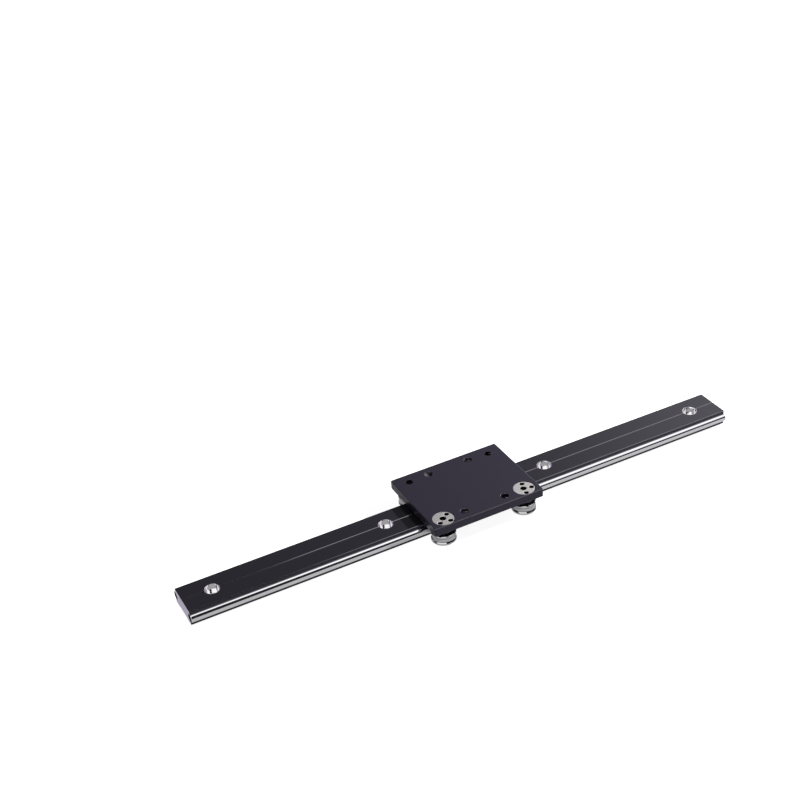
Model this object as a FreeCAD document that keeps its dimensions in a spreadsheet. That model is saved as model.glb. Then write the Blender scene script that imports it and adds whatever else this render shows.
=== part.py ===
"""Roller linear guide: a rail with two let-in shafts and a carriage on four grooved rollers.

Frame: X along the rail, Y across it, Z up from the face that the rail is screwed down on.
The origin is the middle of that face. Lengths are in millimetres, angles in degrees.
"""
import FreeCAD, Part
import os
import Sketcher

SIZES = {
    # rail profile
    "rail_length": 400.0,
    "rail_width": 26.0,
    "rail_height": 10.5,
    "rail_edge_break": 0.3,
    "rail_end_radius": 0.5,
    "scribe_width": 0.7,
    "scribe_depth": 0.35,
    "relief_width": 12.0,
    "relief_depth": 0.8,
    # rail mounting holes
    "rail_hole_pitch": 120.0,
    "rail_hole_count": 4,
    "rail_hole_dia": 5.5,
    "rail_bore_dia": 9.5,
    "rail_bore_depth": 5.4,
    # shafts
    "shaft_dia": 6.0,
    "shaft_inset": 0.5,
    "shaft_fit": 0.02,
    "shaft_edge_break": 0.4,
    # carriage plate
    "plate_length": 80.0,
    "plate_width": 62.5,
    "plate_thickness": 6.0,
    "plate_over_rail": 1.5,
    "plate_corner_radius": 1.0,
    "plate_edge_break": 0.4,
    "tap_dia": 5.0,
    "tap_edge_break": 0.35,
    "mount_pitch_x": 30.0,
    "mount_pitch_y": 48.0,
    "roller_pitch_x": 60.0,
    # outer ring of a roller
    "ring_dia": 16.5,
    "ring_width": 7.0,
    "ring_edge_break": 0.4,
    "groove_floor_dia": 14.8,
    "ring_bore_dia": 11.0,
    "rolling_gap": 0.08,
    # bearing inside a roller
    "ball_dia": 2.4,
    "ball_count": 8,
    "ball_circle_dia": 9.5,
    "race_gap": 0.08,
    "inner_ring_dia": 7.9,
    "inner_ring_bore": 5.0,
    "inner_ring_width": 7.5,
    "inner_edge_break": 0.2,
    "cage_wall": 0.8,
    "cage_width": 3.2,
    "cage_gap": 0.1,
    "shield_seat_dia": 12.2,
    "shield_seat_depth": 0.5,
    "shield_thickness": 0.3,
    "shield_gap": 0.15,
    # stack on each roller's screw
    "screw_fit": 0.05,
    "screw_head_dia": 8.6,
    "screw_head_height": 1.1,
    "screw_key": 3.0,
    "screw_key_depth": 0.8,
    "screw_below_top_rear": 1.2,
    "screw_below_top_front": 2.6,
    "spacer_flange_dia": 14.0,
    "spacer_flange_height": 1.2,
    "spacer_neck_dia": 7.2,
    # eccentric bushes
    "bush_head_dia": 14.6,
    "bush_head_height": 2.7,
    "bush_below_top": 0.3,
    "bush_neck_dia": 11.0,
    "bush_fit": 0.05,
    "bush_edge_break": 0.25,
    "bush_throw": 0.5,
    "bush_tap_drill": 4.2,
    "bush_turn_left": 128.0,
    "bush_turn_right": 165.0,
    "spanner_circle_dia": 10.0,
    "spanner_hole_dia": 3.2,
    "spanner_hole_depth": 2.0,
}

FULL_TURN = 360.0
SPANNER_HOLE_COUNT = 3
SPANNER_HOLE_SPREAD = 180.0
HEX_SIDES = 6
TOLERANCE = 1e-6

# Places worked out from the sizes, as expressions that the features are bound to
SHAFT_Y = "(Sizes.rail_width / 2 - Sizes.shaft_inset)"
SHAFT_Z = "(Sizes.rail_height / 2)"
PLATE_BOTTOM = "(Sizes.rail_height + Sizes.plate_over_rail)"
PLATE_TOP = "(" + PLATE_BOTTOM + " + Sizes.plate_thickness)"
ROLLER_Y = ("(" + SHAFT_Y + " + Sizes.shaft_dia / 2 + Sizes.rolling_gap"
            " + Sizes.groove_floor_dia / 2)")
BUSH_Y = "(" + ROLLER_Y + " + Sizes.bush_throw * sin(Sizes.bush_turn_left))"
STACK_TOP = "(" + SHAFT_Z + " + Sizes.inner_ring_width / 2)"
STACK_BOTTOM = "(" + SHAFT_Z + " - Sizes.inner_ring_width / 2)"

doc = FreeCAD.newDocument("RollerGuide")


def make_sheet():
    """Write every driving size into the sheet, one named cell each."""
    sheet = doc.addObject("Spreadsheet::Sheet", "Sizes")
    for row, (name, value) in enumerate(SIZES.items(), start=1):
        sheet.set("A%d" % row, name)
        sheet.set("B%d" % row, repr(value))
        sheet.setAlias("B%d" % row, name)
    doc.recompute()
    return sheet


sheet = make_sheet()


def value_of(expression):
    """Number that an expression on the sheet stands for now."""
    return float(sheet.evalExpression(expression))


def new_body(label):
    """Body whose label is the piece's name."""
    body = doc.addObject("PartDesign::Body", "Body_" + label)
    body.Label = label
    return body


def origin_item(body, role):
    """Plane or axis of the body's own origin, such as XY_Plane or Z_Axis."""
    return [item for item in body.Origin.OriginFeatures if item.Role == role][0]


def new_sketch(body, name, plane, height=None):
    """Sketch on one of the body's origin planes, lifted along its normal by an expression."""
    sketch = body.newObject("Sketcher::SketchObject", name + "_" + body.Label)
    sketch.AttachmentSupport = (origin_item(body, plane), [""])
    sketch.MapMode = "FlatFace"
    if height is not None:
        sketch.setExpression("AttachmentOffset.Base.z", height)
    return sketch


def bind(sketch, constraint, expression):
    """Add a dimension to the sketch and bind it to the sheet."""
    number = sketch.addConstraint(constraint)
    name = "size_%d" % number
    sketch.renameConstraint(number, name)
    sketch.setExpression("Constraints." + name, expression)


def pin_point(sketch, geometry, point, across, along):
    """Fix a point of the sketch's geometry at two expressions from the sketch's origin."""
    for kind, expression in (("DistanceX", across), ("DistanceY", along)):
        constraint = Sketcher.Constraint(kind, -1, 1, geometry, point, value_of(expression))
        bind(sketch, constraint, expression)


def draw_outline(sketch, corners):
    """Draw a closed outline of straight lines through corners given as pairs of expressions."""
    places = [FreeCAD.Vector(value_of(x), value_of(y), 0) for x, y in corners]
    for number, start in enumerate(places):
        end = places[(number + 1) % len(places)]
        sketch.addGeometry(Part.LineSegment(start, end), False)
    for number, (x, y) in enumerate(corners):
        before = number - 1 if number else len(corners) - 1
        sketch.addConstraint(Sketcher.Constraint("Coincident", before, 2, number, 1))
        pin_point(sketch, number, 1, x, y)


def draw_circle(sketch, across, along, diameter):
    """Draw a circle whose centre and diameter are expressions."""
    centre = FreeCAD.Vector(value_of(across), value_of(along), 0)
    circle = Part.Circle(centre, FreeCAD.Vector(0, 0, 1), value_of(diameter) / 2)
    number = sketch.addGeometry(circle, False)
    pin_point(sketch, number, 3, across, along)
    bind(sketch, Sketcher.Constraint("Diameter", number, value_of(diameter)), diameter)


def add_feature(body, kind, sketch, label):
    """Feature of the given kind on a sketch."""
    feature = body.newObject("PartDesign::" + kind, label + "_" + body.Label)
    feature.Profile = sketch
    return feature


def pad(body, sketch, length, symmetric=False):
    """Pad a sketch by an expression."""
    feature = add_feature(body, "Pad", sketch, "Pad")
    feature.setExpression("Length", length)
    feature.SideType = "Symmetric" if symmetric else "One side"
    doc.recompute()
    return feature


def pocket(body, sketch, depth, upward=False, label="Pocket"):
    """Cut a sketch away by a depth, down from its plane or up from it."""
    before = body.Shape.Volume
    feature = add_feature(body, "Pocket", sketch, label)
    feature.setExpression("Length", depth)
    feature.Reversed = upward
    doc.recompute()
    if body.Shape.Volume >= before:
        raise RuntimeError("%s cuts nothing" % feature.Name)
    return feature


def turn(body, kind, sketch):
    """Revolution or Groove of a sketch about the body's Z axis."""
    before = body.Shape.Volume if kind == "Groove" else None
    feature = add_feature(body, kind, sketch, kind)
    feature.ReferenceAxis = (sketch, ["V_Axis"])
    feature.Angle = FULL_TURN
    doc.recompute()
    if before is not None and body.Shape.Volume >= before:
        raise RuntimeError("%s cuts nothing" % feature.Name)
    return feature


def around(body, feature, count, angle):
    """Repeat a feature about the Z axis, count times over an angle."""
    pattern = body.newObject("PartDesign::PolarPattern", "Around_" + feature.Name)
    pattern.Originals = [feature]
    pattern.Axis = (origin_item(body, "Z_Axis"), [""])
    pattern.Angle = angle
    if isinstance(count, str):
        pattern.setExpression("Occurrences", count)
    else:
        pattern.Occurrences = count
    body.Tip = pattern
    doc.recompute()
    return pattern


def edges_where(shape, test):
    """Names of the edges that pass a test."""
    return ["Edge%d" % number for number, edge in enumerate(shape.Edges, start=1) if test(edge)]


def is_upright(edge):
    """Whether an edge is a straight line along Z."""
    return edge.Curve.TypeId == "Part::GeomLine" and abs(edge.Curve.Direction.z) > 1 - TOLERANCE


def dress(body, kind, names, dimension, expression):
    """Fillet or Chamfer on the named edges of the body's last feature."""
    base = body.Tip
    feature = body.newObject("PartDesign::" + kind, kind + "_" + base.Name)
    feature.Base = (base, names)
    feature.setExpression(dimension, expression)
    doc.recompute()
    return feature


def place(piece, x="0", y="0", z="0"):
    """Bind the piece's place to expressions."""
    for axis, expression in (("x", x), ("y", y), ("z", z)):
        piece.setExpression("Placement.Base." + axis, expression)
    doc.recompute()


def ring_outline(inner, outer, bottom, top, cut):
    """Corners of a turned ring's half section, with all its edges broken."""
    return [(inner, "%s + %s" % (bottom, cut)), ("%s + %s" % (inner, cut), bottom),
            ("%s - %s" % (outer, cut), bottom), (outer, "%s + %s" % (bottom, cut)),
            (outer, "%s - %s" % (top, cut)), ("%s - %s" % (outer, cut), top),
            ("%s + %s" % (inner, cut), top), (inner, "%s - %s" % (top, cut))]


def opposite(corner):
    """The same corner on the other side of the rail."""
    x, y = corner
    return "-(%s)" % x, y


def rail_corners():
    """Corners of the rail's section, seen along +X, and where its two side pockets start."""
    half = "Sizes.rail_width / 2"
    top = "Sizes.rail_height"
    cut = "Sizes.rail_edge_break"
    pocket_radius = "(Sizes.shaft_dia / 2 + Sizes.shaft_fit)"
    mouth = "sqrt(%s ^ 2 - Sizes.shaft_inset ^ 2)" % pocket_radius
    lower_lip = (half, "%s - %s" % (SHAFT_Z, mouth))
    upper_lip = (half, "%s + %s" % (SHAFT_Z, mouth))
    right = [
        ("Sizes.relief_width / 2", "Sizes.relief_depth"),
        ("Sizes.relief_width / 2 + Sizes.relief_depth", "0"),
        ("%s - %s" % (half, cut), "0"),
        (half, cut),
        lower_lip,
        upper_lip,
        (half, "%s - %s" % (top, cut)),
        ("%s - %s" % (half, cut), top),
        ("Sizes.scribe_width / 2", top),
    ]
    scribe = [("0", "%s - Sizes.scribe_depth" % top)]
    corners = right + scribe + [opposite(corner) for corner in reversed(right)]
    return corners, (corners.index(lower_lip), corners.index(opposite(upper_lip)))


def make_rail():
    """Extruded rail: side pockets, scribed centre line, relief and counterbored holes."""
    body = new_body("rail_extrusion")
    section = new_sketch(body, "Section", "YZ_Plane")
    corners, pockets = rail_corners()
    draw_pocketed_outline(section, corners, pockets)
    pad(body, section, "Sizes.rail_length", symmetric=True)
    side = value_of("Sizes.rail_width / 2")
    upright = edges_where(body.Shape, lambda edge: is_upright(edge)
                          and abs(abs(edge.CenterOfMass.y) - side) < TOLERANCE)
    dress(body, "Fillet", upright, "Radius", "Sizes.rail_end_radius")
    first = "-Sizes.rail_hole_pitch * (Sizes.rail_hole_count - 1) / 2"
    points = new_sketch(body, "HolePoint", "XY_Plane", "Sizes.rail_height")
    draw_circle(points, first, "0", "Sizes.rail_hole_dia")
    bores = new_sketch(body, "BorePoint", "XY_Plane", "Sizes.rail_height")
    draw_circle(bores, first, "0", "Sizes.rail_bore_dia")
    through = pocket(body, points, "Sizes.rail_height", label="ScrewHole")
    bore = pocket(body, bores, "Sizes.rail_bore_depth", label="HeadBore")
    row = body.newObject("PartDesign::LinearPattern", "HoleRow")
    row.Originals = [through, bore]
    row.Direction = (origin_item(body, "X_Axis"), [""])
    row.setExpression("Length", "Sizes.rail_hole_pitch * (Sizes.rail_hole_count - 1)")
    row.setExpression("Occurrences", "Sizes.rail_hole_count")
    body.Tip = row
    doc.recompute()
    return body


def draw_pocketed_outline(sketch, corners, pockets):
    """Outline whose pocket edges are arcs of more than half a turn round the shafts."""
    radius = "Sizes.shaft_dia / 2 + Sizes.shaft_fit"
    places = [FreeCAD.Vector(value_of(x), value_of(y), 0) for x, y in corners]
    for number, start in enumerate(places):
        end = places[(number + 1) % len(places)]
        if number in pockets:
            side = 1 if start.x > 0 else -1
            deepest = side * (value_of(SHAFT_Y) - value_of(radius))
            edge = Part.Arc(start, FreeCAD.Vector(deepest, value_of(SHAFT_Z), 0), end)
        else:
            edge = Part.LineSegment(start, end)
        sketch.addGeometry(edge, False)
    for number, (x, y) in enumerate(corners):
        before = number - 1 if number else len(corners) - 1
        start_point = 2 if number in pockets else 1
        end_point = 1 if before in pockets else 2
        sketch.addConstraint(Sketcher.Constraint(
            "Coincident", before, end_point, number, start_point))
        pin_point(sketch, number, start_point, x, y)
    for number in pockets:
        bind(sketch, Sketcher.Constraint("Radius", number, value_of(radius)), radius)


def make_shaft(label, side):
    """Ground shaft in one of the rail's side pockets, its ends chamfered."""
    body = new_body(label)
    section = new_sketch(body, "Section", "YZ_Plane")
    draw_circle(section, "0", "0", "Sizes.shaft_dia")
    pad(body, section, "Sizes.rail_length", symmetric=True)
    rims = edges_where(body.Shape, lambda edge: edge.Curve.TypeId == "Part::GeomCircle")
    dress(body, "Chamfer", rims, "Size", "Sizes.shaft_edge_break")
    place(body, y="%d * %s" % (side, SHAFT_Y), z=SHAFT_Z)
    return body


def plate_points(pitch_x, rows):
    """Pairs of expressions for holes at plus and minus half a pitch in each row."""
    return [("%d * %s / 2" % (sign, pitch_x), row) for row in rows for sign in (-1, 1)]


def drill_plate(body, name, points, diameter, depth):
    """Cut one hole of the given diameter and depth at each point, down from the plate's top."""
    sketch = new_sketch(body, name, "XY_Plane", "Sizes.plate_thickness")
    for x, y in points:
        draw_circle(sketch, x, y, diameter)
    return pocket(body, sketch, depth, label=name + "Cut")


def make_plate():
    """Carriage plate: rounded corners, tapped mounting holes, stepped bores for the bushes."""
    body = new_body("carriage_plate")
    outline = new_sketch(body, "Outline", "XY_Plane")
    x, y = "Sizes.plate_length / 2", "Sizes.plate_width / 2"
    draw_outline(outline, [("-" + x, "-" + y), (x, "-" + y), (x, y), ("-" + x, y)])
    pad(body, outline, "Sizes.plate_thickness")
    upright = edges_where(body.Shape, is_upright)
    dress(body, "Fillet", upright, "Radius", "Sizes.plate_corner_radius")
    rims = edges_where(body.Shape, lambda edge: not is_upright(edge))
    dress(body, "Chamfer", rims, "Size", "Sizes.plate_edge_break")
    thickness = "Sizes.plate_thickness"
    mounts = plate_points("Sizes.mount_pitch_x",
                          ["-Sizes.mount_pitch_y / 2", "Sizes.mount_pitch_y / 2"])
    rear = plate_points("Sizes.roller_pitch_x", [ROLLER_Y])
    front = plate_points("Sizes.roller_pitch_x", ["-" + BUSH_Y])
    drill_plate(body, "MountTap", mounts, "Sizes.tap_dia", thickness)
    top = value_of(thickness)
    lead_ins = edges_where(body.Shape, lambda edge: edge.isClosed()
                           and edge.CenterOfMass.z > top - TOLERANCE)
    dress(body, "Chamfer", lead_ins, "Size", "Sizes.tap_edge_break")
    drill_plate(body, "RollerTap", rear, "Sizes.tap_dia", thickness)
    drill_plate(body, "BushNeck", front, "Sizes.bush_neck_dia + 2 * Sizes.bush_fit", thickness)
    drill_plate(body, "BushHead", front, "Sizes.bush_head_dia + 2 * Sizes.bush_fit",
                "Sizes.bush_below_top + Sizes.bush_head_height + Sizes.bush_fit")
    place(body, z=PLATE_BOTTOM)
    return body


def make_bush(label, side, turned):
    """Eccentric bush: its head fills the plate's bore, its tapped hole lies off the middle.

    The bush is drawn below the plate's top, and its head ends a little under that face.
    The throw points along the bush's own +X, so the three spanner holes leave that side free.
    """
    body = new_body(label)
    outline = new_sketch(body, "Outline", "XZ_Plane")
    neck = "Sizes.bush_neck_dia / 2"
    head = "Sizes.bush_head_dia / 2"
    top = "-Sizes.bush_below_top"
    shoulder = top + " - Sizes.bush_head_height"
    cut = "Sizes.bush_edge_break"
    draw_outline(outline, [
        ("0", "-Sizes.plate_thickness"), (neck, "-Sizes.plate_thickness"), (neck, shoulder),
        (head, shoulder), (head, "%s - %s" % (top, cut)), ("%s - %s" % (head, cut), top),
        ("0", top)])
    turn(body, "Revolution", outline)
    spanner = new_sketch(body, "SpannerHole", "XY_Plane", top)
    draw_circle(spanner, "0", "Sizes.spanner_circle_dia / 2", "Sizes.spanner_hole_dia")
    first = pocket(body, spanner, "Sizes.spanner_hole_depth", label="Spanner")
    around(body, first, SPANNER_HOLE_COUNT, SPANNER_HOLE_SPREAD)
    drill = new_sketch(body, "TapDrill", "XY_Plane")
    draw_circle(drill, "Sizes.bush_throw", "0", "Sizes.bush_tap_drill")
    pocket(body, drill, "Sizes.plate_thickness", label="Drill")
    thread = new_sketch(body, "Thread", "XY_Plane", "-Sizes.plate_thickness")
    draw_circle(thread, "Sizes.bush_throw", "0", "Sizes.tap_dia")
    depth = "Sizes.plate_thickness - Sizes.screw_below_top_front + Sizes.screw_fit"
    pocket(body, thread, depth, upward=True, label="ThreadCut")
    body.Placement.Rotation = FreeCAD.Rotation(FreeCAD.Vector(0, 0, 1), value_of(turned))
    body.setExpression("Placement.Rotation.Angle", turned)
    place(body, "%d * Sizes.roller_pitch_x / 2" % side, "-" + BUSH_Y, PLATE_TOP)
    return body


def make_outer_ring(label):
    """Grooved outer ring: the round groove that fits the shaft, the ball race and shield seats."""
    body = new_body(label)
    half = "Sizes.ring_width / 2"
    outer = "Sizes.ring_dia / 2"
    cut = "Sizes.ring_edge_break"
    seat = "Sizes.shield_seat_dia / 2"
    floor = "%s - Sizes.shield_seat_depth" % half
    bore = "Sizes.ring_bore_dia / 2"
    upper = [(bore, floor), (seat, floor), (seat, half), ("%s - %s" % (outer, cut), half),
             (outer, "%s - %s" % (half, cut))]
    lower = [(x, "-(%s)" % y) for x, y in reversed(upper)]
    outline = new_sketch(body, "Outline", "XZ_Plane")
    draw_outline(outline, upper + lower)
    turn(body, "Revolution", outline)
    groove = new_sketch(body, "ShaftGroove", "XZ_Plane")
    draw_circle(groove, "Sizes.groove_floor_dia / 2 + Sizes.shaft_dia / 2 + Sizes.rolling_gap",
                "0", "Sizes.shaft_dia + 2 * Sizes.rolling_gap")
    turn(body, "Groove", groove)
    cut_race(body)
    return body


def cut_race(body):
    """Groove for the balls, a little larger than they are."""
    race = new_sketch(body, "BallRace", "XZ_Plane")
    draw_circle(race, "Sizes.ball_circle_dia / 2", "0", "Sizes.ball_dia + 2 * Sizes.race_gap")
    turn(body, "Groove", race)


def make_inner_ring(label):
    """Inner ring, a little wider than the outer one, clamped on the screw."""
    body = new_body(label)
    outline = new_sketch(body, "Outline", "XZ_Plane")
    draw_outline(outline, ring_outline(
        "Sizes.inner_ring_bore / 2", "Sizes.inner_ring_dia / 2", "-Sizes.inner_ring_width / 2",
        "Sizes.inner_ring_width / 2", "Sizes.inner_edge_break"))
    turn(body, "Revolution", outline)
    cut_race(body)
    return body


def make_cage(label):
    """Ring between the races with a pocket for each ball."""
    body = new_body(label)
    inner = "(Sizes.ball_circle_dia - Sizes.cage_wall) / 2"
    outer = "(Sizes.ball_circle_dia + Sizes.cage_wall) / 2"
    half = "Sizes.cage_width / 2"
    outline = new_sketch(body, "Outline", "XZ_Plane")
    draw_outline(outline, [(inner, "-" + half), (outer, "-" + half), (outer, half), (inner, half)])
    turn(body, "Revolution", outline)
    hole = new_sketch(body, "BallPocket", "YZ_Plane")
    draw_circle(hole, "0", "0", "Sizes.ball_dia + 2 * Sizes.cage_gap")
    first = pocket(body, hole, "Sizes.ball_circle_dia", upward=True, label="BallPocketCut")
    around(body, first, "Sizes.ball_count", FULL_TURN)
    return body


def make_shield(label, side):
    """Thin shield in the outer ring's seat, just clear of the inner ring."""
    body = new_body(label)
    inner = "Sizes.inner_ring_dia / 2 + Sizes.shield_gap"
    outer = "Sizes.shield_seat_dia / 2"
    low = "Sizes.ring_width / 2 - Sizes.shield_seat_depth"
    high = "%s + Sizes.shield_thickness" % low
    corners = [(inner, low), (outer, low), (outer, high), (inner, high)]
    outline = new_sketch(body, "Outline", "XZ_Plane")
    draw_outline(outline, [(x, "%d * (%s)" % (side, z)) for x, z in corners])
    turn(body, "Revolution", outline)
    return body


def make_balls(label):
    """Row of balls, one solid each, between the two rings."""
    spheres = []
    for number in range(int(value_of("Sizes.ball_count"))):
        ball = doc.addObject("Part::Sphere", "Ball%d_%s" % (number, label))
        ball.setExpression("Radius", "Sizes.ball_dia / 2")
        angle = "%g * %d / Sizes.ball_count" % (FULL_TURN, number)
        place(ball, "Sizes.ball_circle_dia / 2 * cos(%s)" % angle,
              "Sizes.ball_circle_dia / 2 * sin(%s)" % angle)
        spheres.append(ball)
    row = doc.addObject("Part::Compound", "Balls_" + label)
    row.Label = label
    row.Links = spheres
    doc.recompute()
    return row


def make_spacer(label):
    """Stepped spacer: its flange lies under the plate, its neck bears on the inner ring only."""
    body = new_body(label)
    bore = "Sizes.inner_ring_bore / 2"
    flange = "Sizes.spacer_flange_dia / 2"
    neck = "Sizes.spacer_neck_dia / 2"
    top = "%s - %s - Sizes.bush_fit" % (PLATE_BOTTOM, STACK_TOP)
    step = "%s - Sizes.spacer_flange_height" % top
    outline = new_sketch(body, "Outline", "XZ_Plane")
    draw_outline(outline, [(bore, "0"), (neck, "0"), (neck, step), (flange, step), (flange, top),
                           (bore, top)])
    turn(body, "Revolution", outline)
    return body


def make_screw(label, below_top):
    """Low headed screw from below: its hexagon socket opens downwards."""
    body = new_body(label)
    shank = "(Sizes.tap_dia / 2 - Sizes.screw_fit)"
    head = "Sizes.screw_head_dia / 2"
    under = "-Sizes.screw_head_height"
    tip = "%s - %s - %s" % (PLATE_TOP, STACK_BOTTOM, below_top)
    cut = "Sizes.inner_edge_break"
    outline = new_sketch(body, "Outline", "XZ_Plane")
    draw_outline(outline, [
        ("0", under), ("%s - %s" % (head, cut), under), (head, "%s + %s" % (under, cut)),
        (head, "0"), (shank, "0"), (shank, "%s - %s" % (tip, cut)),
        ("%s - %s" % (shank, cut), tip), ("0", tip)])
    turn(body, "Revolution", outline)
    socket = new_sketch(body, "Socket", "XY_Plane", under)
    reach = "Sizes.screw_key / sqrt(3)"
    angles = [FULL_TURN * number / HEX_SIDES for number in range(HEX_SIDES)]
    draw_outline(socket, [("%s * cos(%g)" % (reach, angle), "%s * sin(%g)" % (reach, angle))
                          for angle in angles])
    pocket(body, socket, "Sizes.screw_key_depth", upward=True, label="SocketCut")
    return body


def roller_axis(row, side):
    """Expressions for the place of a roller's axis: row is front or rear, side -1 or 1."""
    along = "%d * Sizes.roller_pitch_x / 2" % side
    if row == "rear":
        return along, ROLLER_Y
    turned = "Sizes.bush_turn_left" if side < 0 else "Sizes.bush_turn_right"
    return ("%s + Sizes.bush_throw * cos(%s)" % (along, turned),
            "-%s + Sizes.bush_throw * sin(%s)" % (BUSH_Y, turned))


def make_roller(row, side):
    """All the pieces of one roller, stacked on its screw."""
    corner = "%s_%s" % (row, "left" if side < 0 else "right")
    x, y = roller_axis(row, side)
    turning = [make_outer_ring("roller_ring_" + corner), make_balls("bearing_balls_" + corner),
               make_cage("ball_cage_" + corner),
               make_shield("bearing_shield_top_" + corner, 1),
               make_shield("bearing_shield_bottom_" + corner, -1)]
    inner = make_inner_ring("inner_ring_" + corner)
    for piece in turning + [inner]:
        place(piece, x, y, SHAFT_Z)
    spacer = make_spacer("roller_spacer_" + corner)
    place(spacer, x, y, STACK_TOP)
    screw = make_screw("roller_screw_" + corner, "Sizes.screw_below_top_" + row)
    place(screw, x, y, STACK_BOTTOM)
    return turning + [inner, spacer, screw]


def build():
    """Make every piece and return them in order."""
    pieces = [make_rail(), make_shaft("shaft_front", -1), make_shaft("shaft_rear", 1), make_plate(),
              make_bush("eccentric_bush_left", -1, "Sizes.bush_turn_left"),
              make_bush("eccentric_bush_right", 1, "Sizes.bush_turn_right")]
    for row in ("front", "rear"):
        for side in (-1, 1):
            pieces += make_roller(row, side)
    return pieces


def check(pieces):
    """Stop if any object failed or any piece's shape is missing or broken."""
    doc.recompute()
    failed = [item.Name for item in doc.Objects
              if "Invalid" in item.State or "Error" in item.State]
    broken = [piece.Label for piece in pieces
              if piece.Shape.isNull() or not piece.Shape.isValid() or not piece.Shape.Solids]
    if failed or broken:
        raise RuntimeError("failed objects %s, broken pieces %s" % (failed, broken))


def export(pieces):
    """Write each piece to its own file."""
    os.makedirs("parts", exist_ok=True)
    for piece in pieces:
        piece.Shape.exportStep("parts/%s.step" % piece.Label)
        box = piece.Shape.BoundBox
        print("%-34s %9.1f mm3  z %.2f to %.2f" % (piece.Label, piece.Shape.Volume,
                                                   box.ZMin, box.ZMax))


pieces = build()
check(pieces)
export(pieces)
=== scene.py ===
"""Looks of a roller linear guide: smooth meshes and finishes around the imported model.

Sizes are millimetres. Places are metres, as Blender's own coordinates are, and so is all of the
studio. Scales and pitches of noise are per metre. X runs along the rail, Y across it, and Z is up
from the face that the rail is screwed down on.
"""
import logging
import math
from dataclasses import dataclass, field
from enum import Enum
from typing import Callable, Optional, Sequence, Union

import bpy
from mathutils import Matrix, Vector


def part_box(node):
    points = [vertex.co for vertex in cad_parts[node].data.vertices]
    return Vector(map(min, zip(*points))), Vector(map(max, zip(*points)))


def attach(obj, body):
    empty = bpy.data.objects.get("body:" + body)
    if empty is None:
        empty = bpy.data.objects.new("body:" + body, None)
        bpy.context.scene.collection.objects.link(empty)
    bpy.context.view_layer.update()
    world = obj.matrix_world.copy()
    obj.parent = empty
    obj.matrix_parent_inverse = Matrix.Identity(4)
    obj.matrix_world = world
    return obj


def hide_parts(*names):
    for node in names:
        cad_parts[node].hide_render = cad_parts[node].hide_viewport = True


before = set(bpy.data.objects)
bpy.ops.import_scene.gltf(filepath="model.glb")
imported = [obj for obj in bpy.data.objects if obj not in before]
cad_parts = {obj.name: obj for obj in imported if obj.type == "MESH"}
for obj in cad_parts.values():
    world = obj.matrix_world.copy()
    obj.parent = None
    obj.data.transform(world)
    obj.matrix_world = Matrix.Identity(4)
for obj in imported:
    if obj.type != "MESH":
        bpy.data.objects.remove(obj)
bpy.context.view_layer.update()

log = logging.getLogger("roller_guide")

MM = 0.001
MERGE_WITHIN = 0.0002
SAME_PLACE = 0.01
SMOOTH_ANGLE = 60.0
UPRIGHT = 0.999
Point = tuple[float, float]
Place = tuple[float, float, float]
Colour = tuple[float, float, float]
Socket = Union[bpy.types.NodeSocket, float]


class Row(Enum):
    """The two long sides of the rail: the front rollers sit on eccentric bushes."""

    FRONT = "front"
    REAR = "rear"


class Side(Enum):
    """The two ends of the carriage, left at negative X."""

    LEFT = "left"
    RIGHT = "right"


class Slot(Enum):
    """The record's material slots that new pieces take their finish from."""

    RAIL = "rail_black"
    PLATE = "plate_black"
    SHAFT = "shaft_steel"
    ROLLER = "roller_steel"
    BUSH = "bush_steel"


# Modelling, by the same steps as by hand


def deselect_all() -> None:
    """Leave object mode with nothing selected."""
    if bpy.context.object and bpy.context.object.mode != "OBJECT":
        bpy.ops.object.mode_set(mode="OBJECT")
    bpy.ops.object.select_all(action="DESELECT")


def activate(piece: bpy.types.Object) -> None:
    """Make a piece the only selected object and the active one.

    Args:
        piece: the piece.
    """
    deselect_all()
    piece.select_set(True)
    bpy.context.view_layer.objects.active = piece


def edit(piece: bpy.types.Object, whole: bool = True) -> None:
    """Enter edit mode on a piece.

    Args:
        piece: the object to edit.
        whole: whether all of its mesh is selected, or none.
    """
    activate(piece)
    bpy.ops.object.mode_set(mode="EDIT")
    bpy.ops.mesh.select_mode(type="VERT")
    bpy.ops.mesh.select_all(action="SELECT" if whole else "DESELECT")


def select_vertices(piece: bpy.types.Object, chosen: Sequence[int]) -> None:
    """Select just these vertices of a piece that is in edit mode.

    Args:
        piece: the piece.
        chosen: numbers of the vertices.
    """
    bpy.ops.mesh.select_all(action="DESELECT")
    bpy.ops.object.mode_set(mode="OBJECT")
    for number in chosen:
        piece.data.vertices[number].select = True
    bpy.ops.object.mode_set(mode="EDIT")


def draw_outline(name: str, points: Sequence[Vector]) -> bpy.types.Object:
    """Draw a closed outline by extruding one vertex from point to point.

    Args:
        name: name of the new object.
        points: the outline's corners in metres.

    Returns:
        The object, in edit mode with its vertices and edges selected.
    """
    deselect_all()
    bpy.ops.mesh.primitive_plane_add(size=MM, location=(0, 0, 0))
    piece = bpy.context.object
    piece.name = name
    edit(piece)
    bpy.ops.mesh.merge(type="CENTER")
    bpy.ops.transform.translate(value=points[0])
    for before, after in zip(points, points[1:]):
        bpy.ops.mesh.extrude_region_move(TRANSFORM_OT_translate={"value": after - before})
    select_vertices(piece, (0, len(points) - 1))
    bpy.ops.mesh.edge_face_add()
    bpy.ops.mesh.select_all(action="SELECT")
    return piece


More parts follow.
